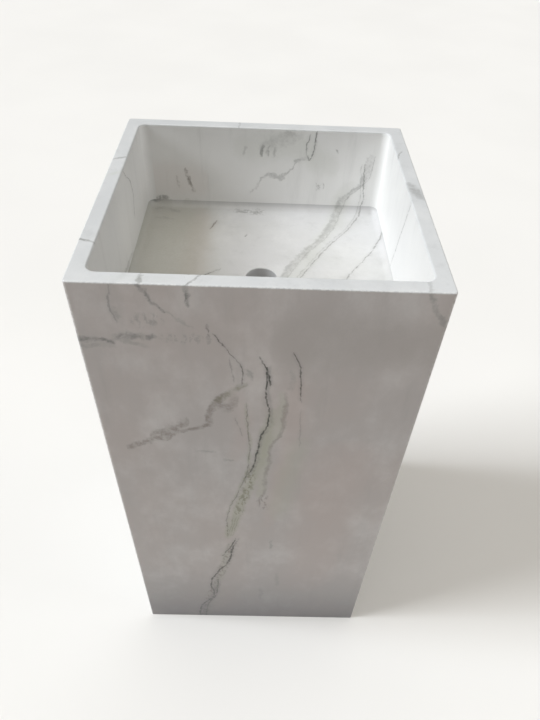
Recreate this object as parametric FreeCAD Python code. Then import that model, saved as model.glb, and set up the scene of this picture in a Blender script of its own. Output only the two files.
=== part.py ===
"""Free-standing square pedestal sink, built from marble slabs, with its waste and bottle trap inside.

Row frame in millimetres: +Z up, the front faces -Y, and the origin is on the floor under the
middle of the column. Each function makes one sub-part, or the few that are alike, and the table
at the end names the STEP file that each one goes to.
"""

import FreeCAD
import Part

import math
import os

V = FreeCAD.Vector
X_AXIS = V(1, 0, 0)
Z_AXIS = V(0, 0, 1)
FULL_TURN = 360.0
TOUCHING = 1e-6  # tolerance when an edge is picked by its place
EDGE = 1.0  # bevel on the edges of the turned and moulded parts

# Stone column: four mitred slabs round a square plan.
WIDTH = 420.0
HEIGHT = 850.0
SLAB = 20.0
CORNER_ARRIS = 4.0  # radius of the outer vertical edges
RIM_ARRIS = 2.0  # radius of the rim's top edges
HALF = WIDTH / 2
INNER = HALF - SLAB  # half the clear width inside the slabs

# Basin at the top of the column.
BASIN_CORNER = 12.0  # radius of the resin fillets in the upright corners
COVE = 10.0  # radius of the resin cove round the floor
FLOOR_DROP = 133.0  # rim to the edge of the basin floor
FALL = 0.025  # slope of the floor towards the drain
FLOOR_SLAB = 30.0
GLUE_GAP = 0.5  # left round the floor slab
DRAIN_R = 22.5
DRAIN_ARRIS = 1.0
FLOOR_TOP = HEIGHT - FLOOR_DROP
FLOOR_UNDER = FLOOR_TOP - FLOOR_SLAB
DISH = INNER - COVE  # half width of the dished middle

# Stone strips glued inside the column.
STRIP = 20.0
BEARER_H = 30.0
STIFFENER_H = 40.0
BLOCK_LEG = 22.0
BLOCK_FROM = 60.0
BLOCK_TO = 640.0

# Service opening in the back slab.
OPENING_W = 240.0
OPENING_FROM = 180.0
OPENING_TO = 620.0
OPENING_CORNER = 20.0

# Waste, bolted up into a seat under the floor slab.
SEAT_R = 37.0
SEAT_DEPTH = 8.0
SEAT_TOP = FLOOR_UNDER + SEAT_DEPTH
GASKET_T = 3.0
GASKET_GAP = 0.5  # from the drain hole out to the gasket
FLANGE_R = 35.0
FLANGE_T = SEAT_DEPTH - GASKET_T
FLANGE_TOP = FLOOR_UNDER + FLANGE_T
WASTE_BORE_R = 17.0
TAIL_R = 20.95  # over the G 1 1/4 thread
TAIL_L = 45.0
TAIL_END = FLOOR_UNDER - TAIL_L
SCREWS = 4
FIRST_SCREW = 45.0  # degrees from +X, so that the screws stand on the diagonals
SCREW_CIRCLE_R = 28.0
SCREW_R = 2.45
SCREW_HEAD_R = 4.6
SCREW_HEAD_H = 2.7
SCREW_L = 16.0
SCREW_KEY_R = 1.7  # hexagon socket, across its corners
INSERT_R = 4.0
INSERT_BORE_R = 2.6
INSERT_L = 10.0
INSERT_GAP = 0.05  # bond line round an insert
SCREW_HOLE_R = 2.75

# Lift-out strainer in the waste.
STRAINER_SEAT_R = 20.0
STRAINER_SEAT_DEPTH = 4.0
STRAINER_RIM_R = 19.6
STRAINER_RIM_T = 1.2
BASKET_R = 15.5
BASKET_WALL = 1.0
BASKET_DEPTH = 10.0
PERFORATION_R = 1.5
PERFORATION_RINGS = ((6.5, 6), (11.5, 12))  # radius, count
STEM_R = 2.0
KNOB_R = 4.5
KNOB_H = 3.0
KNOB_ABOVE = 2.0  # over the top of the flange

# Bottle trap on 32 mm tube.
TUBE_R = 16.0
TUBE_WALL = 1.7
SLIP = 0.3  # radial room of a nut or socket on its tube
RUBBER_SLIP = 0.05  # radial room of a sealing ring on its tube
WASHER_T = 3.0
TUBE_FLANGE_R = 20.3
TUBE_FLANGE_T = 4.0
TUBE_END = 510.0
THREAD_ROOM = 0.3
NUT_WALL = 5.5
INLET_NUT_H = 30.0
LIP = 8.0
RIB_R = 1.6
NUT_RIBS = 12
CUP_RIBS = 12
RIB_INSET = 2.0  # from the ends of a nut to its ribs
COLLAR_R = 22.0
WASHER_GAP = 1.0  # from the edge of a collar in to its sealing ring
WASHER_TAPER = 2.0
COLLAR_TOP = 590.0
RING_T = 5.0
SLIP_NUT_H = 29.0
BODY_R = 31.0
BODY_WALL = 3.0
BODY_SLOPE_W = 5.0  # sloping shoulder at the top of the body
BODY_SLOPE_H = 6.0
BODY_TOP = 570.0
BODY_END = 505.0
STOP_R = 34.0
STOP_Z = 522.0
STOP_H = 4.0
DIP_WALL = 2.7
DIP_END = 455.0
OUTLET_Z = 545.0
PORT_R = 20.0
PORT_END = 62.0
OUTLET_NUT_L = 27.0
PIPE_START = 38.0
PIPE_END = 205.0
BEAD_Y = 160.0
BEAD_W = 3.0
BEAD_R = 17.6
CUP_COLLAR_R = 35.5
CUP_R = 32.0
CUP_WALL = 3.0
CUP_EDGE = 4.0  # bevel under the cup, and slope up to its collar
CUP_SEAL_T = 2.0
CUP_TOP = STOP_Z - CUP_SEAL_T
CUP_SHOULDER = 500.0
CUP_BOTTOM = 436.0
CUP_FLOOR_T = 4.0
GRIP_R = 13.0
GRIP_H = 10.0


def box(x0, y0, z0, x1, y1, z1):
    """A block between two opposite corners."""
    return Part.makeBox(x1 - x0, y1 - y0, z1 - z0, V(x0, y0, z0))


def rod(radius, z0, z1, x=0.0, y=0.0):
    """An upright cylinder."""
    return Part.makeCylinder(radius, z1 - z0, V(x, y, z0), Z_AXIS)


def polygon_face(points):
    """A flat face inside a closed run of straight edges."""
    return Part.Face(Part.makePolygon(points + [points[0]]))


def turned(profile):
    """A solid of revolution about Z from a closed (radius, z) outline."""
    face = polygon_face([V(r, 0, z) for r, z in profile])
    return face.revolve(V(0, 0, 0), Z_AXIS, FULL_TURN)


def round_edges(shape, radius, wanted):
    """Fillets the edges of a shape that wanted() picks."""
    return shape.makeFillet(radius, [e for e in shape.Edges if wanted(e)])


def is_upright(edge):
    """True for a straight edge along Z."""
    return abs(edge.BoundBox.ZLength - edge.Length) < TOUCHING


def runs_back(edge):
    """True for a straight edge along Y."""
    return abs(edge.BoundBox.YLength - edge.Length) < TOUCHING


def lies_at(edge, z):
    """True for an edge that lies level at height z."""
    bounds = edge.BoundBox
    return abs(bounds.ZMin - z) < TOUCHING and abs(bounds.ZMax - z) < TOUCHING


def square_column(half, z0, z1, corner):
    """A square prism with rounded upright edges."""
    block = box(-half, -half, z0, half, half, z1)
    return round_edges(block, corner, is_upright)


def around(shape, count, start=0.0):
    """Copies of a shape, evenly spaced about Z."""
    copies = []
    for i in range(count):
        copy = shape.copy()
        copy.rotate(V(0, 0, 0), Z_AXIS, start + i * FULL_TURN / count)
        copies.append(copy)
    return copies


def hexagon(corner_radius, z0, height, x=0.0):
    """An upright six-sided prism."""
    angles = [i * math.pi / 3 for i in range(6)]
    corners = [V(x + corner_radius * math.cos(a), corner_radius * math.sin(a), z0) for a in angles]
    return polygon_face(corners).extrude(V(0, 0, height))


def one_solid(shape):
    """The single solid of a boolean result, with its split faces merged."""
    return shape.removeSplitter().Solids[0]


def stone_ring():
    """The four slabs as one ring, with the basin's rounded corners and the eased rim."""
    ring = square_column(HALF, 0, HEIGHT, CORNER_ARRIS)
    ring = ring.cut(box(-INNER, -INNER, 0, INNER, INNER, FLOOR_TOP + COVE))
    ring = ring.cut(square_column(INNER, FLOOR_TOP + COVE, HEIGHT, BASIN_CORNER))
    return round_edges(ring, RIM_ARRIS, lambda e: lies_at(e, HEIGHT))


def slab_sector(turn):
    """The wedge of the plan that the front slab fills, turned about Z, between 45 degree mitres."""
    reach = 2 * HALF
    plan = polygon_face([V(0, 0, 0), V(-reach, -reach, 0), V(reach, -reach, 0)])
    sector = plan.extrude(V(0, 0, HEIGHT))
    sector.rotate(V(0, 0, 0), Z_AXIS, turn)
    return sector


def inner_square():
    return box(-INNER, -INNER, 0, INNER, INNER, HEIGHT)


def slabs(ring):
    """The front, right, back and left slabs, mitred where they meet."""
    outside = ring.cut(inner_square())
    front, right, back, left = [outside.common(slab_sector(t)) for t in (0, 90, 180, 270)]
    half = OPENING_W / 2
    hole = box(-half, 0, OPENING_FROM, half, WIDTH, OPENING_TO)
    hole = round_edges(hole, OPENING_CORNER, runs_back)
    return one_solid(front), one_solid(back.cut(hole)), one_solid(left), one_solid(right)


def basin_corner_fillets(ring):
    """Resin fillets in the basin's four upright corners."""
    above = box(-INNER, -INNER, FLOOR_TOP + COVE, INNER, INNER, HEIGHT)
    return Part.makeCompound([one_solid(s) for s in ring.common(above).Solids])


def basin_cove():
    """The resin cove that seals the floor slab to the walls."""
    band = box(-INNER, -INNER, FLOOR_TOP, INNER, INNER, FLOOR_TOP + COVE)
    bowl = square_column(INNER, FLOOR_TOP, HEIGHT, BASIN_CORNER)
    bowl = round_edges(bowl, COVE, lambda e: lies_at(e, FLOOR_TOP))
    return one_solid(band.cut(bowl))


def basin_floor():
    """The floor slab: four falls to the drain hole, and the waste's seat underneath."""
    half = INNER - GLUE_GAP
    slab = box(-half, -half, FLOOR_UNDER, half, half, FLOOR_TOP)
    tip = FLOOR_TOP - FALL * DISH
    plan = [V(-DISH, -DISH, FLOOR_TOP), V(DISH, -DISH, FLOOR_TOP)]
    plan += [V(DISH, DISH, FLOOR_TOP), V(-DISH, DISH, FLOOR_TOP)]
    sides = [polygon_face([a, b, V(0, 0, tip)]) for a, b in zip(plan, plan[1:] + plan[:1])]
    dish = Part.Solid(Part.Shell(sides + [polygon_face(plan)]))
    slab = slab.cut(dish).cut(rod(DRAIN_R, FLOOR_UNDER, FLOOR_TOP))
    drain_top = FLOOR_TOP - FALL * (DISH - DRAIN_R)
    low = drain_top - DRAIN_ARRIS
    high = low + COVE
    bevel = turned([(0, low), (DRAIN_R, low), (DRAIN_R + COVE, high), (0, high)])
    slab = slab.cut(bevel).cut(rod(SEAT_R, FLOOR_UNDER, SEAT_TOP))
    hole = rod(INSERT_R + INSERT_GAP, SEAT_TOP, SEAT_TOP + INSERT_L, SCREW_CIRCLE_R)
    for insert_hole in screw_places(hole):
        slab = slab.cut(insert_hole)
    return one_solid(slab)


def strips(z0, z1):
    """Front, back, left and right stone strips on the inner faces of the slabs."""
    inside = INNER - STRIP
    return (
        box(-inside, -INNER, z0, inside, -inside, z1),
        box(-inside, inside, z0, inside, INNER, z1),
        box(-INNER, -INNER, z0, -inside, INNER, z1),
        box(inside, -INNER, z0, INNER, INNER, z1),
    )


def corner_blocks():
    """Three-sided stone blocks glued into the upright mitres of the chamber."""
    leg_end = INNER - BLOCK_LEG
    plan = [V(INNER, INNER, BLOCK_FROM), V(leg_end, INNER, BLOCK_FROM), V(INNER, leg_end, BLOCK_FROM)]
    block = polygon_face(plan).extrude(V(0, 0, BLOCK_TO - BLOCK_FROM))
    return Part.makeCompound(around(block, 4))


def screw_places(tool):
    """Copies of a tool on the waste's screw circle, which the tool stands on already."""
    return around(tool, SCREWS, FIRST_SCREW)


def waste_gasket():
    """Flat rubber ring between the stone and the waste's flange."""
    gasket = rod(FLANGE_R, FLANGE_TOP, SEAT_TOP)
    gasket = gasket.cut(rod(DRAIN_R + GASKET_GAP, FLANGE_TOP, SEAT_TOP))
    for hole in screw_places(rod(SCREW_HOLE_R, FLANGE_TOP, SEAT_TOP, SCREW_CIRCLE_R)):
        gasket = gasket.cut(hole)
    return one_solid(gasket)


def countersunk(radius, head_radius, z0, length):
    """A countersunk screw's outline, head down, on the screw circle."""
    neck = z0 + SCREW_HEAD_H
    tip = z0 + length
    screw = turned([(0, z0), (head_radius, z0), (radius, neck), (radius, tip), (0, tip)])
    screw.translate(V(SCREW_CIRCLE_R, 0, 0))
    return screw


def waste_body():
    """Flanged brass waste: strainer seat at the top, threaded tail below."""
    seat = FLANGE_TOP - STRAINER_SEAT_DEPTH
    body = turned(
        [
            (WASTE_BORE_R, TAIL_END),
            (TAIL_R - EDGE, TAIL_END),
            (TAIL_R, TAIL_END + EDGE),
            (TAIL_R, FLOOR_UNDER),
            (FLANGE_R, FLOOR_UNDER),
            (FLANGE_R, FLANGE_TOP),
            (STRAINER_SEAT_R, FLANGE_TOP),
            (STRAINER_SEAT_R, seat),
            (WASTE_BORE_R, seat),
        ]
    )
    room = SCREW_HOLE_R - SCREW_R
    for hole in screw_places(countersunk(SCREW_HOLE_R, SCREW_HEAD_R + room, FLOOR_UNDER, SCREW_L)):
        body = body.cut(hole)
    return one_solid(body)


def waste_screws():
    """Countersunk screws with a hexagon socket, driven up through the flange."""
    screw = countersunk(SCREW_R, SCREW_HEAD_R, FLOOR_UNDER, SCREW_L)
    socket = hexagon(SCREW_KEY_R, FLOOR_UNDER, SCREW_HEAD_H, SCREW_CIRCLE_R)
    return Part.makeCompound(screw_places(one_solid(screw.cut(socket))))


def waste_inserts():
    """Threaded sleeves bonded into the stone above the seat."""
    sleeve = rod(INSERT_R, SEAT_TOP, SEAT_TOP + INSERT_L, SCREW_CIRCLE_R)
    sleeve = sleeve.cut(rod(INSERT_BORE_R, SEAT_TOP, SEAT_TOP + INSERT_L, SCREW_CIRCLE_R))
    return Part.makeCompound(screw_places(sleeve))


def strainer():
    """Perforated basket with a rim that sits in the waste and a knob to lift it by."""
    seat = FLANGE_TOP - STRAINER_SEAT_DEPTH
    floor = seat - BASKET_DEPTH
    basket = turned(
        [
            (0, floor),
            (BASKET_R, floor),
            (BASKET_R, seat),
            (STRAINER_RIM_R, seat),
            (STRAINER_RIM_R, seat + STRAINER_RIM_T),
            (BASKET_R - BASKET_WALL, seat + STRAINER_RIM_T),
            (BASKET_R - BASKET_WALL, floor + BASKET_WALL),
            (0, floor + BASKET_WALL),
        ]
    )
    for radius, count in PERFORATION_RINGS:
        hole = rod(PERFORATION_R, floor, floor + BASKET_WALL, radius)
        for perforation in around(hole, count):
            basket = basket.cut(perforation)
    knob_top = FLANGE_TOP + KNOB_ABOVE
    stem = rod(STEM_R, floor, knob_top - KNOB_H)
    knob = rod(KNOB_R, knob_top - KNOB_H, knob_top)
    knob = round_edges(knob, EDGE, lambda e: lies_at(e, knob_top))
    return one_solid(basket.fuse(stem).fuse(knob))


def ribbed(solid, radius, z0, z1, count):
    """Adds half-round grip ribs to a turned solid."""
    for rib in around(rod(RIB_R, z0, z1, radius), count):
        solid = solid.fuse(rib)
    return one_solid(solid)


def inlet_washer():
    """Flat ring between the waste's tail and the inlet tube."""
    ring = rod(TUBE_FLANGE_R, TAIL_END - WASHER_T, TAIL_END)
    return ring.cut(rod(TUBE_R - TUBE_WALL, TAIL_END - WASHER_T, TAIL_END))


def inlet_tube():
    """Tube with a flange at the top, held to the waste by the inlet nut."""
    top = TAIL_END - WASHER_T
    under = top - TUBE_FLANGE_T
    inside = TUBE_R - TUBE_WALL
    return turned(
        [
            (inside, TUBE_END),
            (TUBE_R, TUBE_END),
            (TUBE_R, under),
            (TUBE_FLANGE_R, under),
            (TUBE_FLANGE_R, top),
            (inside, top),
        ]
    )


def inlet_nut():
    """Ribbed nut on the waste's tail."""
    lip_top = TAIL_END - WASHER_T - TUBE_FLANGE_T - SLIP
    low = lip_top - LIP
    top = low + INLET_NUT_H
    bore = TAIL_R + THREAD_ROOM
    outer = bore + NUT_WALL
    nut = turned(
        [
            (TUBE_R + SLIP, low),
            (outer - EDGE, low),
            (outer, low + EDGE),
            (outer, top - EDGE),
            (outer - EDGE, top),
            (bore, top),
            (bore, lip_top),
            (TUBE_R + SLIP, lip_top),
        ]
    )
    return ribbed(nut, outer, low + RIB_INSET, top - RIB_INSET, NUT_RIBS)


def slip_washer():
    """Sealing ring between the trap's collar and the inlet tube."""
    bore = TUBE_R + RUBBER_SLIP
    outer = COLLAR_R - WASHER_GAP
    top = COLLAR_TOP + RING_T
    return turned([(bore, COLLAR_TOP), (outer, COLLAR_TOP), (outer - WASHER_TAPER, top), (bore, top)])


def capped_nut(thread_r, length):
    """A ribbed nut about Z whose lip is at the top, at z = 0, and whose thread is below."""
    bore = thread_r + THREAD_ROOM
    outer = bore + NUT_WALL
    nut = turned(
        [
            (bore, -length),
            (outer - EDGE, -length),
            (outer, EDGE - length),
            (outer, -EDGE),
            (outer - EDGE, 0),
            (TUBE_R + SLIP, 0),
            (TUBE_R + SLIP, -LIP + SLIP),
            (bore, -LIP + SLIP),
        ]
    )
    return ribbed(nut, outer, RIB_INSET - length, -RIB_INSET, NUT_RIBS)


def slip_nut():
    """Nut that clamps the inlet tube in the trap."""
    nut = capped_nut(COLLAR_R, SLIP_NUT_H)
    nut.translate(V(0, 0, COLLAR_TOP + RING_T + LIP))
    return nut


def along_y(shape, y):
    """Turns a shape made about Z onto the outlet's axis, with its z = 0 at a given y."""
    shape = shape.copy()
    shape.rotate(V(0, 0, 0), X_AXIS, -90)
    shape.translate(V(0, y, OUTLET_Z))
    return shape


def trap_body():
    """Upper half of the bottle trap: collar, dip tube, side port and the thread for the cup."""
    bore = TUBE_R + SLIP
    dip_r = bore + DIP_WALL
    inside = BODY_R - BODY_WALL
    roof = BODY_TOP - BODY_WALL - BODY_SLOPE_H
    shell = turned(
        [
            (bore, DIP_END),
            (dip_r, DIP_END),
            (dip_r, BODY_TOP - BODY_WALL - EDGE),
            (inside, roof),
            (inside, BODY_END),
            (BODY_R, BODY_END),
            (BODY_R, STOP_Z),
            (STOP_R, STOP_Z),
            (STOP_R, STOP_Z + STOP_H),
            (BODY_R, STOP_Z + STOP_H),
            (BODY_R, BODY_TOP - BODY_SLOPE_H),
            (BODY_R - BODY_SLOPE_W, BODY_TOP),
            (COLLAR_R, BODY_TOP),
            (COLLAR_R, COLLAR_TOP),
            (bore, COLLAR_TOP),
        ]
    )
    port = along_y(rod(PORT_R, 0, PORT_END - dip_r), dip_r)
    shell = shell.fuse(port.cut(rod(inside, BODY_END, roof)))
    shell = shell.cut(along_y(rod(bore, 0, PORT_END - dip_r), dip_r + EDGE))
    return one_solid(shell)


def cup_seal():
    """Flat ring between the cup and the stop on the trap's body."""
    bore = BODY_R + THREAD_ROOM
    return turned([(bore, CUP_TOP), (STOP_R, CUP_TOP), (STOP_R, STOP_Z), (bore, STOP_Z)])


def trap_cup():
    """Screw-off bottle of the trap, with a hexagon grip underneath."""
    bore = BODY_R + THREAD_ROOM
    inside = CUP_R - CUP_WALL
    cup = turned(
        [
            (0, CUP_BOTTOM),
            (CUP_R - CUP_EDGE, CUP_BOTTOM),
            (CUP_R, CUP_BOTTOM + CUP_EDGE),
            (CUP_R, CUP_SHOULDER - CUP_EDGE),
            (CUP_COLLAR_R, CUP_SHOULDER),
            (CUP_COLLAR_R, CUP_TOP),
            (bore, CUP_TOP),
            (bore, CUP_SHOULDER),
            (inside, CUP_SHOULDER),
            (inside, CUP_BOTTOM + CUP_FLOOR_T),
            (0, CUP_BOTTOM + CUP_FLOOR_T),
        ]
    )
    cup = cup.fuse(hexagon(GRIP_R, CUP_BOTTOM - GRIP_H, GRIP_H))
    return ribbed(cup, CUP_COLLAR_R, CUP_SHOULDER + RIB_INSET, CUP_TOP - RIB_INSET, CUP_RIBS)


def outlet_washer():
    bore = TUBE_R + RUBBER_SLIP
    outer = PORT_R - WASHER_GAP
    ring = turned([(bore, 0), (outer, 0), (outer - WASHER_TAPER, RING_T), (bore, RING_T)])
    return along_y(ring, PORT_END)


def outlet_nut():
    return along_y(capped_nut(PORT_R, OUTLET_NUT_L), PORT_END + RING_T + LIP)


def outlet_pipe():
    """Pipe to the wall: a bead marks how far the wall's socket goes on."""
    inside = TUBE_R - TUBE_WALL
    length = PIPE_END - PIPE_START
    bead = BEAD_Y - PIPE_START
    pipe = turned(
        [
            (inside, 0),
            (TUBE_R, 0),
            (TUBE_R, bead),
            (BEAD_R, bead + EDGE),
            (BEAD_R, bead + BEAD_W - EDGE),
            (TUBE_R, bead + BEAD_W),
            (TUBE_R, length - EDGE),
            (TUBE_R - EDGE, length),
            (inside, length),
        ]
    )
    return along_y(pipe, PIPE_START)


def build():
    """Every sub-part by its node's name."""
    ring = stone_ring()
    front, back, left, right = slabs(ring)
    bearers = strips(FLOOR_UNDER - BEARER_H, FLOOR_UNDER)
    stiffeners = strips(0, STIFFENER_H)
    parts = {
        "front_panel": front,
        "back_panel": back,
        "left_panel": left,
        "right_panel": right,
        "basin_floor": basin_floor(),
        "basin_corner_fillets": basin_corner_fillets(ring),
        "basin_cove_fillet": basin_cove(),
        "corner_glue_blocks": corner_blocks(),
        "waste_gasket": waste_gasket(),
        "waste_body": waste_body(),
        "waste_screws": waste_screws(),
        "waste_inserts": waste_inserts(),
        "strainer": strainer(),
        "inlet_washer": inlet_washer(),
        "inlet_tube": inlet_tube(),
        "inlet_nut": inlet_nut(),
        "slip_washer": slip_washer(),
        "slip_nut": slip_nut(),
        "trap_body": trap_body(),
        "cup_seal": cup_seal(),
        "trap_cup": trap_cup(),
        "outlet_washer": outlet_washer(),
        "outlet_nut": outlet_nut(),
        "outlet_pipe": outlet_pipe(),
    }
    for side, bearer, stiffener in zip(("front", "back", "left", "right"), bearers, stiffeners):
        parts["floor_bearer_" + side] = bearer
        parts["base_stiffener_" + side] = stiffener
    return parts


def main():
    os.makedirs("parts", exist_ok=True)
    for name, shape in build().items():
        if not shape.isValid():
            raise ValueError(name + " is not a valid shape")
        shape.exportStep("parts/" + name + ".step")
        print(f"{name}: {len(shape.Solids)} solid(s), {shape.Volume / 1000:.1f} cm3")


main()
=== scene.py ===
"""Looks of the marble pedestal sink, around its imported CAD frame. Metres, +Z up, front faces -Y."""

import math
from collections import namedtuple

import bpy
from mathutils import Matrix, Vector


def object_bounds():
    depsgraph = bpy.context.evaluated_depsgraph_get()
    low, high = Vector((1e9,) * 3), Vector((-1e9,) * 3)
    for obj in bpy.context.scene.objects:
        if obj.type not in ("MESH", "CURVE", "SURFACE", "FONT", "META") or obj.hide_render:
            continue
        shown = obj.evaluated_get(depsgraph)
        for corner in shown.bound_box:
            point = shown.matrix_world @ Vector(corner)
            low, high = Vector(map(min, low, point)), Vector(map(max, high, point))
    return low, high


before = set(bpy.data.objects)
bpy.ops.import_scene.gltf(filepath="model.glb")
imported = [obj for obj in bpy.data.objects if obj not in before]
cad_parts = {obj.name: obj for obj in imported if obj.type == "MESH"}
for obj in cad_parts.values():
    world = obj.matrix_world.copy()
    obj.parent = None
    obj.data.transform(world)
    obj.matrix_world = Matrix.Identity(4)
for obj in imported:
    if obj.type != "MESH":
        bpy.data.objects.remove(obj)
cad_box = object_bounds()

WIDTH = cad_box[1].x - cad_box[0].x
HEIGHT = cad_box[1].z
HALF = WIDTH / 2

# Camera: its place in metres, and its turns in degrees, with pitch downwards from level.
EYE_POINT = (-0.0013, -0.7123, 1.2223)
EYE_YAW = 1.8
EYE_PITCH = 46.6
EYE_ROLL = 2.85
LENS_MM = 29.23
LENS_SHIFT = 0.0435

# Colours are linear, as the shader takes them.
# The front slab's face tones: the same white stone, kept darker than on the other slabs as painted shade.
FACE_SHADED_WARM = (0.444, 0.397, 0.377)
FACE_SHADED_COOL = (0.430, 0.400, 0.388)
# Painted shade on the outer faces of the back and side slabs.
OUTER_SHADED_WHITE = (0.70, 0.70, 0.69)
# The rim top's tones: lighter than the front's shaded face, and darker than the bowl walls as painted shade
# on the key-lit top.
RIM_WHITE = (0.65, 0.663, 0.675)
RIM_GREY = (0.605, 0.618, 0.63)
FLOOR_WHITE = (0.63, 0.63, 0.635)
FLOOR_GREY = (0.57, 0.57, 0.56)
PALE = (0.78, 0.78, 0.775)
MILKY = (0.86, 0.858, 0.845)
BRIGHT = (0.92, 0.92, 0.91)
CHARCOAL = (0.060, 0.058, 0.050)
SLATE = (0.185, 0.185, 0.175)
# Painted shade that darkens the foot of each slab.
FOOT_SHADE_BLUE = (0.122, 0.122, 0.135)
BROWN_GREY = (0.200, 0.170, 0.148)
MOSS = (0.205, 0.200, 0.140)
OLIVE = (0.36, 0.365, 0.27)
SAGE = (0.50, 0.52, 0.44)
# Painted shade across the top right of the front, under the rim.
FACE_SHADE_DIM = (0.378, 0.345, 0.326)
# The front's sage and blush tints, darkened to match the painted shade of its face tones.
FACE_SAGE = (0.410, 0.415, 0.335)
FACE_BLUSH = (0.475, 0.385, 0.355)
BLUSH = (0.68, 0.58, 0.54)
# Painted shadow, olive, in the left of the bowl.
SHADOW_OLIVE = (0.36, 0.352, 0.272)

# A vein: how it is textured, the coordinate that it runs along, the one that it wanders across,
# and its route in metres as (along, across, weight). Weight scales its width and its strength.
# Routes are set on a grid of 5 mm, apart from small offsets between lines side by side.
Vein = namedtuple("Vein", "kind along across width strength colour route")


class Nodes:
    """Short calls that build one material's nodes."""

    def __init__(self, name):
        self.material = bpy.data.materials.new(name)
        self.material.use_nodes = True
        self.tree = self.material.node_tree
        self.shader = self.tree.nodes["Principled BSDF"]

    def put(self, value, socket):
        if isinstance(value, bpy.types.NodeSocket):
            self.tree.links.new(value, socket)
        elif isinstance(value, tuple) and len(value) == 3 and socket.type == "RGBA":
            socket.default_value = (*value, 1.0)
        else:
            socket.default_value = value

    def node(self, kind, **settings):
        made = self.tree.nodes.new("ShaderNode" + kind)
        for key, value in settings.items():
            setattr(made, key, value)
        return made

    def math(self, operation, *values):
        made = self.node("Math", operation=operation)
        for value, socket in zip(values, made.inputs):
            self.put(value, socket)
        return made.outputs[0]

    def vector(self, operation, *values):
        made = self.node("VectorMath", operation=operation)
        for value, socket in zip(values, made.inputs):
            self.put(value, socket)
        return made.outputs[0]

    def map(self, value, low, high, to_low=0.0, to_high=1.0, smooth=True):
        """Maps low..high to to_low..to_high, clamped."""
        made = self.node("MapRange", interpolation_type="SMOOTHSTEP" if smooth else "LINEAR")
        for item, socket in zip((value, low, high, to_low, to_high), made.inputs):
            self.put(item, socket)
        return made.outputs[0]

    def noise(self, place, scale, detail=3.0, roughness=0.5, distortion=0.0):
        made = self.node("TexNoise")
        self.put(place, made.inputs["Vector"])
        made.inputs["Scale"].default_value = scale
        made.inputs["Detail"].default_value = detail
        made.inputs["Roughness"].default_value = roughness
        made.inputs["Distortion"].default_value = distortion
        return made

    def curve(self, value, points):
        """A smooth curve through (x, y) points that lie between 0 and 1."""
        made = self.node("FloatCurve")
        line = made.mapping.curves[0]
        line.points[0].location = points[0]
        line.points[1].location = points[-1]
        for x, y in points[1:-1]:
            line.points.new(x, y)
        made.mapping.update()
        self.put(value, made.inputs["Value"])
        return made.outputs[0]

    def mix(self, factor, first, second):
        made = self.node("Mix", data_type="RGBA")
        self.put(factor, made.inputs[0])
        self.put(first, made.inputs[6])
        self.put(second, made.inputs[7])
        return made.outputs[2]

    def place(self):
        return self.node("TexCoord").outputs["Object"]

    def stretched(self, place, scale):
        return self.vector("MULTIPLY", place, scale)

    def bump(self, height, strength, distance):
        made = self.node("Bump")
        made.inputs["Strength"].default_value = strength
        made.inputs["Distance"].default_value = distance
        self.put(height, made.inputs["Height"])
        self.put(made.outputs[0], self.shader.inputs["Normal"])

    def set(self, name, value):
        self.put(value, self.shader.inputs[name])


def warped(g, place, scale, reach, detail):
    """The place moved about by noise, up to half of reach each way."""
    noise = g.noise(place, scale, detail, 0.6).outputs["Color"]
    shift = g.vector("MULTIPLY", g.vector("SUBTRACT", noise, (0.5, 0.5, 0.5)), (reach, reach, reach))
    return g.vector("ADD", place, shift)


def coordinates(g, place):
    """x, y and z, and h = y + z, which runs on down the back wall and forward over the floor."""
    split = g.node("SeparateXYZ")
    g.put(place, split.inputs[0])
    x, y, z = split.outputs
    return {"x": x, "y": y, "z": z, "h": g.math("ADD", y, z)}


def vein_mask(g, where, breakup, halo, vein):
    """How strongly one vein shows at a point: a ragged line along its route, with a faint halo."""
    first, last = vein.route[0][0], vein.route[-1][0]
    side = [p[1] for p in vein.route]
    low, spread = min(side), max(max(side) - min(side), 1e-4)
    t = g.map(where[vein.along], first, last, smooth=False)
    share = [(p[0] - first) / (last - first) for p in vein.route]
    centre = g.curve(t, [(s, (p[1] - low) / spread) for s, p in zip(share, vein.route)])
    centre = g.math("MULTIPLY_ADD", centre, spread, low)
    weight = g.curve(t, [(s, p[2]) for s, p in zip(share, vein.route)])
    distance = g.math("ABSOLUTE", g.math("SUBTRACT", where[vein.across], centre))
    reach = g.math("MULTIPLY_ADD", weight, 0.7 * vein.width, 0.3 * vein.width)
    line = g.map(g.math("DIVIDE", distance, reach), 0.2, 1.0, 1.0, 0.0)
    if halo:
        line = g.math("MAXIMUM", line, g.map(distance, 0.0, vein.width * 4, halo, 0.0))
    shown = g.math("MULTIPLY", g.math("MULTIPLY", line, weight), breakup)
    return g.math("MULTIPLY", shown, vein.strength)


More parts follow.
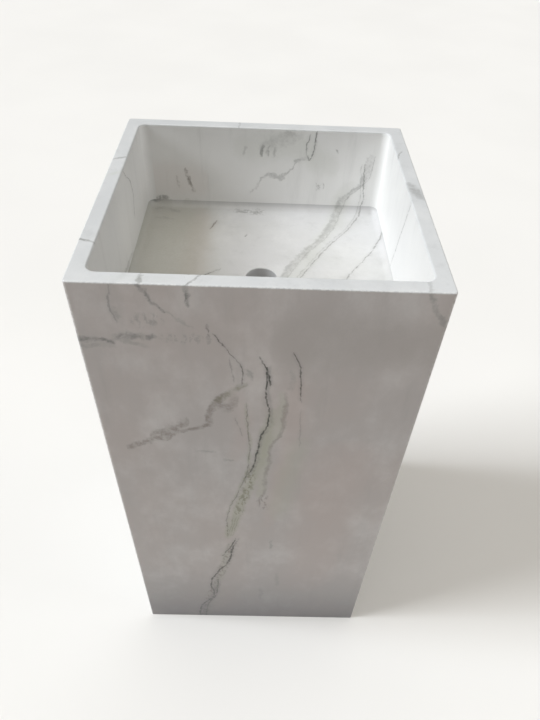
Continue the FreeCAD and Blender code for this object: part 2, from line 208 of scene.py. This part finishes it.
def marble(name, veins, light, shade, foot_shade=0.3, outer_shade=0.85):
    """Polished white marble: clouds, streaks, the given veins, crystals, eased edges, painted shade at the
    foot.
    The last two arguments set how strong the painted shade at the foot is, and how much painted shade
    darkens the outer face against the bowl's side of the same slab."""
    g = Nodes(name)
    place = g.place()
    straight = coordinates(g, place)
    on_rim = g.map(straight["z"], HEIGHT - 0.0022, HEIGHT - 0.0006)
    clouds = g.noise(g.stretched(place, (1.0, 1.0, 0.6)), 6.0, 5.0, 0.6, 0.3).outputs[0]
    cloudy = g.map(clouds, 0.3, 0.7)
    # Painted shade: the outer faces turn to a darker white than the bowl's side of the same slab.
    outside = g.map(outward(g, straight), HALF - 0.004, HALF - 0.001, 0.0, outer_shade)
    body = g.mix(outside, g.mix(cloudy, light, shade), OUTER_SHADED_WHITE)
    # The rim top keeps its own tones; against the bowl walls of the same slab they are painted shade on the
    # key-lit top.
    colour = g.mix(on_rim, body, g.mix(cloudy, RIM_WHITE, RIM_GREY))
    milk = g.noise(g.stretched(place, (1.0, 1.0, 0.7)), 17.0, 5.0, 0.62).outputs[0]
    colour = g.mix(g.map(milk, 0.40, 0.85, 0.0, 0.25), colour, BRIGHT)
    streaks = g.noise(g.stretched(place, (48.0, 48.0, 5.0)), 1.0, 4.0, 0.65).outputs[0]
    colour = g.mix(g.map(streaks, 0.5, 0.85, 0.0, 0.16), colour, SLATE)
    fine = warped(g, warped(g, place, 48.0, 0.0070, 4.0), 210.0, 0.0045, 3.0)
    loose = warped(g, warped(g, place, 34.0, 0.016, 4.0), 170.0, 0.008, 3.0)
    crack_where = coordinates(g, fine)
    smudge_where = coordinates(g, loose)
    specks = g.noise(place, 300.0, 3.0, 0.7).outputs[0]
    grains = g.noise(g.stretched(fine, (1.0, 1.0, 0.45)), 230.0, 3.0, 0.6).outputs[0]
    patches = g.noise(loose, 75.0, 4.0, 0.65).outputs[0]
    breaks = g.noise(place, 95.0, 3.0, 0.6).outputs[0]
    ragged = g.math("MULTIPLY", g.map(patches, 0.34, 0.58, 0.3, 1.0), g.map(specks, 0.3, 0.7, 0.7, 1.0))
    # For each kind of vein: the warped place that it is drawn in, its texture and its halo.
    kinds = {
        "crack": (crack_where, g.map(breaks, 0.34, 0.56, 0.3, 1.0), 0.16),
        "smudge": (smudge_where, ragged, 0.0),
        "grain": (smudge_where, g.map(grains, 0.47, 0.62), 0.0),
        "tint": (smudge_where, g.map(specks, 0.2, 0.8, 0.75, 1.0), 0.0),
        "rim": (crack_where, g.math("MULTIPLY", ragged, on_rim), 0.0),
    }
    for vein in veins:
        where, breakup, halo = kinds[vein.kind]
        colour = g.mix(vein_mask(g, where, breakup, halo, vein), colour, vein.colour)
    crystals = g.noise(place, 1100.0, 2.0, 0.5).outputs[0]
    colour = g.mix(g.map(crystals, 0.35, 0.75, 0.0, 0.06), colour, SLATE)
    arris = edge_mask(g, straight)
    worn = g.math("MULTIPLY", arris, g.map(specks, 0.4, 0.62))
    colour = g.mix(g.math("MULTIPLY", worn, 0.5), colour, MILKY)
    # Painted shade at the foot: the stone darkens towards a blue grey near the floor, in patches, most on
    # the front slab.
    foot_shade_depth = g.map(milk, 0.25, 0.6, 0.58 * foot_shade, 0.75 * foot_shade)
    foot = g.math("MULTIPLY", g.map(straight["z"], -0.04, 0.26, 1.0, 0.0), foot_shade_depth)
    g.set("Base Color", g.mix(foot, colour, FOOT_SHADE_BLUE))
    smears = g.noise(place, 14.0, 4.0, 0.6).outputs[0]
    rough = g.map(smears, 0.1, 0.9, 0.29, 0.41, smooth=False)
    g.set("Roughness", g.math("ADD", rough, g.math("MULTIPLY", arris, 0.16)))
    g.shader.inputs["IOR"].default_value = 1.49
    height = g.math("ADD", g.noise(place, 26.0, 2.0, 0.5).outputs[0], g.math("MULTIPLY", specks, 0.12))
    height = g.math("SUBTRACT", height, g.math("MULTIPLY", worn, 0.25))
    g.bump(height, 0.05, 0.0006)
    return g.material


def outward(g, where):
    """How far out from the upright centre line, measured square to the nearest face."""
    return g.math("MAXIMUM", g.math("ABSOLUTE", where["x"]), g.math("ABSOLUTE", where["y"]))


def edge_mask(g, where):
    """1 along the upright outer corners and the rim's outer edges, 0 on the faces."""
    inner = g.math("MINIMUM", g.math("ABSOLUTE", where["x"]), g.math("ABSOLUTE", where["y"]))
    corner = g.map(inner, HALF - 0.005, HALF - 0.001)
    outer = g.map(outward(g, where), HALF - 0.002, HALF - 0.0003)
    rim = g.math("MULTIPLY", outer, g.map(where["z"], HEIGHT - 0.003, HEIGHT - 0.0006))
    return g.math("MAXIMUM", corner, rim)


def crack(along, across, width, strength, route, colour=CHARCOAL):
    return Vein("crack", along, across, width, strength, colour, route)


def smudge(along, across, width, strength, route, colour=SLATE):
    return Vein("smudge", along, across, width, strength, colour, route)


def grain(along, across, width, strength, route, colour=SLATE):
    return Vein("grain", along, across, width, strength, colour, route)


def tint(along, across, width, strength, route, colour):
    return Vein("tint", along, across, width, strength, colour, route)


def rim_mark(along, across, width, strength, route, colour=SLATE):
    return Vein("rim", along, across, width, strength, colour, route)


def beside(route, aside, weight=1.0):
    """The same route, moved aside and scaled in weight."""
    return [(along, across + aside, share * weight) for along, across, share in route]


def nudge(here, there, step):
    """The point one step along from here, on the straight line to there."""
    share = min(step / abs(there[0] - here[0]), 0.45)
    return tuple(a + share * (b - a) for a, b in zip(here, there))


def run(*points, fade=0.010):
    """A route through (along, across) points that fades in and out over its first and last bit."""
    inner = [nudge(points[0], points[1], fade), *points[1:-1], nudge(points[-1], points[-2], fade)]
    return [(*points[0], 0.0)] + [(*point, 1.0) for point in inner] + [(*points[-1], 0.0)]


def stroke(middle, half, across, lean=0.0):
    """A short straight route that reaches half to each side of its middle."""
    ends = (middle - half, across - lean, 0.0), (middle + half, across + lean, 0.0)
    return [ends[0], (middle, across, 1.0), ends[1]]


def front_crack():
    """The long crack down the middle of the front slab, with its olive and grainy border."""
    main = run((0.735, 0.010), (0.68, 0.010), (0.64, 0.015), (0.60, 0.005), (0.53, -0.005), (0.495, -0.020))
    dash = run((0.325, -0.030), (0.295, -0.040), (0.26, -0.055))
    foot = run(
        (0.30, -0.035),
        (0.24, -0.045),
        (0.20, -0.065),
        (0.14, -0.080),
        (0.11, -0.075),
        (0.04, -0.105),
        (-0.05, -0.11),
    )
    inner = run((0.17, -0.065), (0.11, -0.070), (0.05, -0.090), (-0.05, -0.10))
    olive = run((0.66, 0.020), (0.58, 0.010), (0.50, -0.005), (0.42, -0.025), (0.32, -0.045), fade=0.06)
    olive_foot = run((0.31, -0.040), (0.22, -0.055), (0.12, -0.075), (-0.05, -0.105), fade=0.04)
    blobs = run((0.535, -0.005), (0.46, -0.015), (0.39, -0.030), fade=0.025)
    low = run((0.31, -0.035), (0.22, -0.055), (0.15, -0.070), (0.07, -0.090), (-0.05, -0.11))
    scores = run((0.395, -0.030), (0.33, -0.040))
    return [
        tint("z", "x", 0.0125, 0.6, olive, OLIVE),
        tint("z", "x", 0.0110, 0.3, olive_foot, OLIVE),
        smudge("z", "x", 0.0045, 0.35, beside(main, 0.003)),
        crack("z", "x", 0.0019, 0.95, run((0.75, 0.0), (0.73, 0.010), (0.70, 0.015))),
        crack("z", "x", 0.0020, 1.0, main),
        grain("z", "x", 0.0125, 0.75, blobs, MOSS),
        crack("z", "x", 0.0013, 0.5, beside(scores, -0.004), MOSS),
        crack("z", "x", 0.0013, 0.5, scores, MOSS),
        crack("z", "x", 0.0013, 0.5, beside(scores, 0.004), MOSS),
        grain("z", "x", 0.0120, 0.6, low, BROWN_GREY),
        crack("z", "x", 0.0022, 0.85, dash),
        crack("z", "x", 0.0014, 0.5, beside(dash, 0.005)),
        crack("z", "x", 0.0029, 0.9, foot),
        crack("z", "x", 0.0021, 0.8, inner),
        smudge("z", "x", 0.0065, 0.4, beside(inner, -0.005)),
    ]


def front_left_of_crack():
    """The brown hooked vein that joins the crack from the left, and the thin lines above it."""
    loop = run((0.67, -0.015), (0.56, -0.010), (0.47, -0.025), (0.38, -0.045), (0.32, -0.045), fade=0.03)
    thin = run((0.785, -0.055), (0.755, -0.035), (0.725, -0.020), (0.70, -0.020))
    glow = run((0.70, -0.03), (0.62, -0.02), (0.54, -0.03), fade=0.04)
    cloud = run((-0.145, 0.595), (-0.120, 0.605), (-0.090, 0.630))
    end = run((-0.18, 0.57), (-0.16, 0.58), (-0.14, 0.59))
    return [
        tint("z", "x", 0.020, 0.25, glow, FACE_BLUSH),
        smudge("z", "x", 0.0038, 0.5, loop, OLIVE),
        crack("z", "x", 0.0014, 0.5, loop),
        crack("z", "x", 0.0013, 0.35, stroke(0.62, 0.020, -0.025, -0.005)),
        smudge("x", "z", 0.0055, 0.8, run((-0.105, 0.605), (-0.080, 0.615), (-0.060, 0.630)), BROWN_GREY),
        smudge("z", "x", 0.0072, 0.8, run((0.62, -0.065), (0.655, -0.060), (0.685, -0.045)), BROWN_GREY),
        smudge("x", "z", 0.0098, 0.7, run((-0.060, 0.665), (-0.040, 0.680), (-0.015, 0.705)), MOSS),
        smudge("x", "z", 0.0150, 0.6, run((-0.055, 0.665), (-0.040, 0.660), (-0.025, 0.675)), BROWN_GREY),
        smudge("x", "z", 0.0125, 0.6, cloud, BROWN_GREY),
        grain("x", "z", 0.0190, 0.4, cloud, BROWN_GREY),
        smudge("x", "z", 0.0050, 0.6, run((-0.14, 0.595), (-0.125, 0.590), (-0.11, 0.605)), BROWN_GREY),
        smudge("x", "z", 0.0095, 0.65, end, BROWN_GREY),
        grain("x", "z", 0.0130, 0.4, end, BROWN_GREY),
        crack("z", "x", 0.0013, 0.75, thin),
        crack("z", "x", 0.0013, 0.35, run((0.75, -0.035), (0.70, -0.030), fade=0.02)),
        smudge("z", "x", 0.0048, 0.55, stroke(0.72, 0.010, -0.010)),
        smudge("z", "x", 0.0036, 0.95, stroke(0.79, 0.005, -0.060), CHARCOAL),
        smudge("z", "x", 0.0042, 0.8, stroke(0.775, 0.010, -0.060)),
    ]


def front_right_of_crack():
    """The soft band and the broken line to the right of the crack, with pink and green round them, and
    painted shade across the top right under the rim.
    """
    band = run((0.69, 0.035), (0.63, 0.035), (0.57, 0.020), (0.50, 0.015), (0.45, 0.010), fade=0.05)
    blush = run((0.72, 0.050), (0.60, 0.045), (0.50, 0.035), (0.36, 0.020), fade=0.08)
    sage = run((0.60, 0.060), (0.48, 0.045), (0.38, 0.035), fade=0.08)
    warm = run((0.60, 0.13), (0.45, 0.11), (0.12, 0.10), fade=0.15)
    shade = run((0.01, 0.77), (0.10, 0.775), (0.25, 0.77), fade=0.07)
    return [
        tint("z", "x", 0.020, 0.36, blush, FACE_BLUSH),
        tint("z", "x", 0.026, 0.36, sage, FACE_SAGE),
        tint("z", "x", 0.075, 0.36, warm, FACE_BLUSH),
        # Painted shade across the top right of the front, under the rim.
        tint("x", "z", 0.072, 0.75, shade, FACE_SHADE_DIM),
        tint("z", "x", 0.009, 0.5, beside(band, -0.005), FACE_SAGE),
        smudge("z", "x", 0.0046, 0.5, band, BROWN_GREY),
        grain("z", "x", 0.0120, 0.6, run((0.46, 0.010), (0.415, 0.015)), BROWN_GREY),
        crack("z", "x", 0.0014, 0.85, run((0.76, 0.040), (0.73, 0.050), (0.67, 0.055))),
        crack("z", "x", 0.0014, 0.25, run((0.66, 0.055), (0.57, 0.060), fade=0.03)),
        smudge("z", "x", 0.0050, 0.3, stroke(0.71, 0.020, 0.040)),
        smudge("x", "z", 0.0035, 0.4, stroke(-0.07, 0.015, 0.565)),
        smudge("x", "z", 0.0030, 0.45, stroke(-0.04, 0.010, 0.545)),
        smudge("z", "x", 0.0040, 0.5, stroke(0.305, 0.015, 0.030)),
        smudge("z", "x", 0.0060, 0.3, stroke(0.11, 0.030, 0.015)),
        smudge("z", "x", 0.0060, 0.25, stroke(0.17, 0.030, 0.045)),
        smudge("z", "x", 0.0050, 0.5, run((0.85, 0.180), (0.82, 0.195), (0.80, 0.205))),
    ]


def front_under_rim():
    """The dashes under the front's rim, and the marks that come down over it."""
    second = run((-0.175, 0.765), (-0.155, 0.775), (-0.115, 0.775))
    return [
        crack("z", "x", 0.0019, 0.55, run((0.85, -0.160), (0.82, -0.165), (0.795, -0.160)), SLATE),
        smudge("z", "x", 0.0075, 0.35, stroke(0.81, 0.010, -0.160)),
        smudge("z", "x", 0.0042, 0.8, run((0.85, -0.130), (0.83, -0.120), (0.81, -0.105), fade=0.004)),
        smudge("z", "x", 0.0042, 0.3, run((0.815, -0.105), (0.79, -0.075))),
        smudge("z", "x", 0.0042, 0.9, run((0.85, -0.080), (0.82, -0.080), fade=0.004)),
        rim_mark("y", "x", 0.0024, 0.75, run((-0.22, -0.085), (-0.18, -0.060))),
        smudge("x", "z", 0.0062, 0.9, run((-0.23, 0.770), (-0.19, 0.770), (-0.165, 0.765))),
        smudge("x", "z", 0.0055, 0.35, run((-0.23, 0.760), (-0.165, 0.760), fade=0.03)),
        smudge("x", "z", 0.0062, 0.6, second),
        smudge("x", "z", 0.0098, 0.6, stroke(-0.155, 0.015, 0.775)),
        smudge("x", "z", 0.0060, 0.6, stroke(-0.125, 0.005, 0.775)),
        smudge("x", "z", 0.0048, 0.4, stroke(-0.145, 0.015, 0.765, -0.005)),
        grain("x", "z", 0.0150, 0.4, stroke(-0.125, 0.020, 0.800)),
        grain("x", "z", 0.0110, 0.35, stroke(-0.090, 0.025, 0.775)),
        rim_mark("x", "y", 0.0100, 0.14, stroke(-0.13, 0.040, -0.200), SAGE),
    ]


def front_veins():
    return front_right_of_crack() + front_crack() + front_left_of_crack() + front_under_rim()


def bowl_veins():
    """Veins that run down the inside of the back wall and on over the basin's floor, with a painted shadow
    down the bowl's left and a painted pink fringe along its edge.
    """
    wide = run((1.005, 0.170), (0.965, 0.165), (0.93, 0.135), (0.85, 0.110), (0.75, 0.050), (0.62, 0.0))
    thin = run((0.99, 0.160), (0.92, 0.165), (0.87, 0.150), (0.80, 0.105), (0.72, 0.060), (0.58, -0.01))
    third = run((0.86, 0.195), (0.82, 0.185), (0.71, 0.125), (0.55, 0.07))
    branch = run((-0.02, 0.935), (0.005, 0.965), (0.035, 0.965), (0.05, 0.99), (0.07, 1.0))
    shade = run((0.92, -0.16), (0.74, -0.15), (0.55, -0.15), fade=0.04)
    green = run((0.96, 0.14), (0.86, 0.115), (0.78, 0.075), (0.60, 0.0), fade=0.08)
    marks = [
        tint("x", "h", 0.045, 0.25, run((-0.20, 0.955), (-0.09, 0.95), fade=0.03), BLUSH),
        # A pink stripe painted along the edge of the painted shadow.
        tint("h", "x", 0.030, 0.22, run((0.90, -0.10), (0.66, -0.10), fade=0.06), BLUSH),
        # Painted shadow: olive shade down the left of the back wall and over the left of the floor; it also
        # shows faintly on the back slab's outer face.
        tint("h", "x", 0.110, 0.55, shade, SHADOW_OLIVE),
        tint("x", "h", 0.036, 0.22, run((-0.05, 1.01), (0.04, 1.015), (0.12, 0.98), fade=0.04), SAGE),
        tint("h", "x", 0.022, 0.2, green, SAGE),
        smudge("h", "x", 0.0085, 0.35, wide),
        smudge("h", "x", 0.0050, 0.28, beside(wide, -0.005)),
        crack("h", "x", 0.0014, 0.35, beside(wide, 0.005), SLATE),
        crack("h", "x", 0.0018, 0.6, thin, SLATE),
        crack("h", "x", 0.0013, 0.28, beside(thin, -0.005), SLATE),
        crack("h", "x", 0.0018, 0.65, third, SLATE),
        crack("h", "x", 0.0017, 0.8, run((1.04, 0.080), (1.00, 0.075), (0.99, 0.070)), SLATE),
        crack("h", "x", 0.0016, 0.65, run((1.035, 0.070), (1.01, 0.065), (0.99, 0.070)), SLATE),
        smudge("x", "h", 0.0160, 0.22, run((-0.01, 1.01), (0.02, 1.02), (0.05, 1.03))),
        smudge("x", "h", 0.0090, 0.15, stroke(0.045, 0.015, 1.03)),
        smudge("x", "h", 0.0050, 0.4, branch),
        smudge("h", "x", 0.0042, 0.75, run((0.975, -0.125), (0.93, -0.115)), BROWN_GREY),
        smudge("h", "x", 0.0035, 0.4, stroke(0.95, 0.010, -0.140), BROWN_GREY),
        smudge("x", "h", 0.0080, 0.75, stroke(-0.175, 0.020, 0.920)),
        grain("x", "h", 0.0130, 0.4, run((-0.05, 0.895), (0.005, 0.895))),
        smudge("x", "h", 0.0070, 0.45, stroke(-0.035, 0.010, 0.895)),
        smudge("x", "h", 0.0070, 0.45, stroke(-0.010, 0.010, 0.895)),
        smudge("x", "h", 0.0090, 0.3, run((-0.18, 0.895), (-0.135, 0.890))),
        smudge("x", "h", 0.0050, 0.3, stroke(-0.16, 0.020, 0.865)),
        crack("h", "x", 0.0026, 0.85, stroke(0.85, 0.015, -0.080, 0.005), BROWN_GREY),
        smudge("h", "x", 0.0024, 1.0, stroke(0.825, 0.004, -0.025), CHARCOAL),
        crack("x", "h", 0.0019, 0.8, run((-0.10, 0.700), (-0.06, 0.730)), SLATE),
        grain("x", "h", 0.0100, 0.5, stroke(0.09, 0.010, 0.950)),
        smudge("h", "x", 0.0030, 0.5, stroke(1.01, 0.005, 0.115)),
    ]
    for side, strength in ((-0.030, 0.3), (-0.005, 0.75), (0.005, 0.55), (0.015, 0.4)):
        marks.append(smudge("h", "x", 0.0034, strength, stroke(1.005, 0.010, side, 0.002)))
    return marks


def left_veins():
    """Left slab: a thin line inside the bowl, marks across the rim and the front's lines going on."""
    bend = run((-0.18, 0.57), (-0.03, 0.50), (0.06, 0.47), (0.25, 0.35), fade=0.05)
    upper = (0.62, -0.04), (0.42, -0.01), (0.33, 0.02)
    fall = run(*upper, (0.22, 0.03), (0.10, 0.06), (-0.05, 0.07), fade=0.05)
    return [
        crack("z", "y", 0.0016, 0.6, run((0.85, 0.040), (0.80, 0.080), (0.76, 0.070)), SLATE),
        smudge("y", "z", 0.0055, 0.45, run((-0.24, 0.770), (-0.16, 0.750), (0.03, 0.730), fade=0.03)),
        smudge("y", "z", 0.0100, 0.55, bend),
        crack("z", "y", 0.0019, 0.75, fall),
        grain("z", "y", 0.0140, 0.5, beside(fall, 0.005)),
        rim_mark("x", "y", 0.0030, 0.7, run((-0.22, -0.125), (-0.18, -0.140))),
        rim_mark("x", "y", 0.0040, 0.6, stroke(-0.20, 0.010, 0.075, 0.005)),
        rim_mark("x", "y", 0.0080, 0.3, stroke(-0.20, 0.015, 0.030, 0.010), SAGE),
    ]


def right_veins():
    """Right slab: a grey patch on the rim, faint lines inside the bowl, and plain veins outside."""
    top = (0.85, -0.02), (0.72, 0.02), (0.62, 0.05), (0.48, 0.02)
    fork = run(*top, (0.36, 0.0), (0.20, -0.05), (-0.05, -0.09))
    broad = run((0.70, 0.06), (0.60, 0.065), (0.33, 0.02), (0.05, -0.03), fade=0.08)
    rising = run((-0.20, 0.33), (-0.03, 0.38), (0.05, 0.44), (0.25, 0.57), fade=0.06)
    return [
        rim_mark("y", "x", 0.0110, 0.5, stroke(0.010, 0.025, 0.200, -0.005)),
        rim_mark("y", "x", 0.0018, 0.5, run((0.09, 0.185), (0.13, 0.200))),
        crack("z", "y", 0.0018, 0.55, fork, SLATE),
        smudge("z", "y", 0.0120, 0.45, broad),
        smudge("y", "z", 0.0090, 0.55, rising),
    ]


def back_veins():
    """The back slab below the bowl, where only the outside shows, and a hair line over its rim."""
    sweep = run((-0.25, 0.13), (-0.12, 0.10), (0.02, 0.13), (0.12, 0.20), (0.25, 0.25))
    low = run((0.68, -0.10), (0.57, -0.15), (0.46, -0.15), (0.34, -0.18), (0.20, -0.20), fade=0.04)
    return [
        crack("z", "x", 0.0018, 0.8, low),
        smudge("z", "x", 0.0100, 0.5, beside(low, 0.010)),
        smudge("x", "z", 0.0090, 0.55, sweep),
        rim_mark("y", "x", 0.0018, 0.4, run((0.18, -0.040), (0.22, -0.040))),
    ]


def backing_stone():
    """Sawn offcuts of the same stone, matt and scored by the blade."""
    g = Nodes("backing_stone")
    place = g.place()
    clouds = g.noise(place, 16.0, 4.0, 0.6).outputs[0]
    colour = g.mix(g.map(clouds, 0.3, 0.7), (0.50, 0.49, 0.47), (0.62, 0.61, 0.59))
    saw = g.noise(g.stretched(place, (40.0, 40.0, 900.0)), 1.0, 2.0, 0.5).outputs[0]
    g.set("Base Color", g.mix(g.map(saw, 0.4, 0.7, 0.0, 0.3), colour, (0.44, 0.43, 0.41)))
    g.set("Roughness", g.map(clouds, 0.3, 0.7, 0.62, 0.8))
    g.bump(saw, 0.4, 0.0004)
    return g.material


def metal(name, colour, dark, roughness, stretch=(1.0, 1.0, 40.0)):
    """Metal with faint lines round its axis and uneven polish."""
    g = Nodes(name)
    place = g.place()
    lines = g.noise(g.stretched(place, stretch), 60.0, 3.0, 0.6).outputs[0]
    patches = g.noise(place, 90.0, 3.0, 0.6).outputs[0]
    g.set("Base Color", g.mix(g.map(patches, 0.45, 0.75, 0.0, 0.6), colour, dark))
    turned = g.map(lines, 0.3, 0.7, roughness, roughness + 0.10)
    g.set("Roughness", g.math("ADD", turned, g.map(patches, 0.4, 0.8, 0.0, 0.07)))
    g.shader.inputs["Metallic"].default_value = 1.0
    g.bump(lines, 0.08, 0.0002)
    return g.material


def plastic(name, colour, shade, roughness, grain):
    """Moulded plastic: slight shade changes, a fine grain and dull patches."""
    g = Nodes(name)
    place = g.place()
    patches = g.noise(place, 40.0, 3.0, 0.6).outputs[0]
    texture = g.noise(place, grain, 2.0, 0.5).outputs[0]
    g.set("Base Color", g.mix(g.map(patches, 0.35, 0.75, 0.0, 0.8), colour, shade))
    g.set("Roughness", g.map(patches, 0.3, 0.7, roughness, roughness + 0.15))
    g.bump(texture, 0.15, 0.0002)
    return g.material


def dress(material, *names):
    """Gives CAD nodes a material."""
    for name in names:
        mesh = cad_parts[name].data
        mesh.materials.clear()
        mesh.materials.append(material)


def dress_all():
    bowl = bowl_veins()
    # The front slab carries painted shade in its face tones and the strongest painted shade at its foot.
    dress(marble("marble_front", front_veins(), FACE_SHADED_WARM, FACE_SHADED_COOL, 1.0, 0.0), "front_panel")
    dress(marble("marble_back", bowl + back_veins(), BRIGHT, MILKY), "back_panel")
    dress(marble("marble_left", left_veins(), MILKY, PALE), "left_panel")
    dress(marble("marble_right", right_veins(), MILKY, PALE), "right_panel")
    dress(marble("marble_floor", bowl, FLOOR_WHITE, FLOOR_GREY), "basin_floor", "basin_cove_fillet")
    dress(marble("marble_fillets", (), BRIGHT, MILKY), "basin_corner_fillets")
    strips = [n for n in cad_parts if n.startswith(("floor_bearer", "base_stiffener"))]
    dress(backing_stone(), "corner_glue_blocks", *strips)
    dress(metal("chromed_brass", (0.80, 0.81, 0.82), (0.66, 0.67, 0.68), 0.16), "waste_body")
    dress(metal("satin_steel", (0.62, 0.62, 0.62), (0.45, 0.45, 0.45), 0.30), "strainer", "waste_screws")
    dress(metal("turned_brass", (0.70, 0.52, 0.25), (0.48, 0.33, 0.14), 0.30), "waste_inserts")
    white = plastic("white_plastic", (0.78, 0.78, 0.75), (0.70, 0.70, 0.66), 0.30, 500.0)
    dress(white, "inlet_tube", "trap_body", "trap_cup", "outlet_pipe")
    nuts = plastic("nut_plastic", (0.70, 0.70, 0.68), (0.60, 0.60, 0.57), 0.42, 900.0)
    dress(nuts, "inlet_nut", "slip_nut", "outlet_nut")
    rubber = plastic("black_rubber", (0.025, 0.025, 0.025), (0.045, 0.043, 0.04), 0.6, 1200.0)
    dress(rubber, "waste_gasket", "inlet_washer", "slip_washer", "cup_seal", "outlet_washer")


def studio_floor():
    """A wide, plain pale floor."""
    reach = 9.0
    mesh = bpy.data.meshes.new("studio_floor")
    corners = [(-reach, -reach, 0), (reach, -reach, 0), (reach, reach, 0), (-reach, reach, 0)]
    mesh.from_pydata(corners, [], [(0, 1, 2, 3)])
    floor = bpy.data.objects.new("studio_floor", mesh)
    bpy.context.scene.collection.objects.link(floor)
    g = Nodes("studio_floor")
    soft = g.noise(g.place(), 1.5, 2.0, 0.5).outputs[0]
    g.set("Base Color", g.mix(g.map(soft, 0.3, 0.7), (0.79, 0.78, 0.765), (0.81, 0.80, 0.785)))
    g.shader.inputs["Roughness"].default_value = 0.9
    g.shader.inputs["Specular IOR Level"].default_value = 0.1
    mesh.materials.append(g.material)


def sun(name, towards, strength, colour, softness):
    """A soft key light from far off. towards points from the sink to the light."""
    data = bpy.data.lights.new(name, "SUN")
    data.energy = strength
    data.color = colour
    data.angle = math.radians(softness)
    lamp = bpy.data.objects.new(name, data)
    lamp.rotation_mode = "QUATERNION"
    lamp.rotation_quaternion = Vector(towards).to_track_quat("Z", "Y")
    bpy.context.scene.collection.objects.link(lamp)


def surroundings():
    """Studio surroundings, bright overhead and dark low down, so that the front stands in shade."""
    world = bpy.data.worlds.new("studio")
    world.use_nodes = True
    tree = world.node_tree
    sky = tree.nodes["Background"]
    split = tree.nodes.new("ShaderNodeSeparateXYZ")
    tree.links.new(tree.nodes.new("ShaderNodeTexCoord").outputs["Generated"], split.inputs[0])
    rise = tree.nodes.new("ShaderNodeMapRange")
    rise.interpolation_type = "SMOOTHSTEP"
    rise.inputs["From Min"].default_value = 0.55
    rise.inputs["From Max"].default_value = 0.95
    rise.inputs["To Min"].default_value = 0.02
    rise.inputs["To Max"].default_value = 1.33
    tree.links.new(split.outputs["Z"], rise.inputs["Value"])
    tree.links.new(rise.outputs[0], sky.inputs["Strength"])
    sky.inputs["Color"].default_value = (1.0, 0.965, 0.90, 1.0)
    # The backdrop is as pale as the floor wherever it is looked at directly.
    backdrop = tree.nodes.new("ShaderNodeBackground")
    backdrop.inputs["Color"].default_value = (0.945, 0.935, 0.91, 1.0)
    direct = tree.nodes.new("ShaderNodeLightPath").outputs["Is Camera Ray"]
    choose = tree.nodes.new("ShaderNodeMixShader")
    tree.links.new(direct, choose.inputs["Fac"])
    tree.links.new(sky.outputs[0], choose.inputs[1])
    tree.links.new(backdrop.outputs[0], choose.inputs[2])
    tree.links.new(choose.outputs[0], tree.nodes["World Output"].inputs["Surface"])
    bpy.context.scene.world = world


def camera():
    """Looks down into the basin from in front, close in, with a slight roll."""
    yaw, pitch, roll = (math.radians(angle) for angle in (EYE_YAW, EYE_PITCH, EYE_ROLL))
    forward = Vector((math.sin(yaw) * math.cos(pitch), math.cos(yaw) * math.cos(pitch), -math.sin(pitch)))
    level = Vector((math.cos(yaw), -math.sin(yaw), 0.0))
    up = level.cross(forward)
    right = math.cos(roll) * level + math.sin(roll) * up
    above = math.cos(roll) * up - math.sin(roll) * level
    data = bpy.data.cameras.new("camera")
    data.lens = LENS_MM
    data.sensor_width = 36.0
    data.shift_y = LENS_SHIFT
    data.clip_start = 0.05
    eye = bpy.data.objects.new("camera", data)
    turn = Matrix((right, above, -forward)).transposed().to_4x4()
    eye.matrix_world = Matrix.Translation(EYE_POINT) @ turn
    bpy.context.scene.collection.objects.link(eye)
    bpy.context.scene.camera = eye


camera()
studio_floor()
surroundings()
sun("high_key", (-0.629, 0.03, 0.777), 0.65, (0.88, 0.94, 1.0), 10.0)
sun("low_key", (-0.844, -0.09, 0.530), 2.5, (0.94, 0.97, 1.0), 22.0)
sun("fill", (0.94, -0.05, 0.34), 0.43, (1.0, 0.99, 0.97), 25.0)
dress_all()
bpy.context.scene.view_settings.view_transform = "Standard"
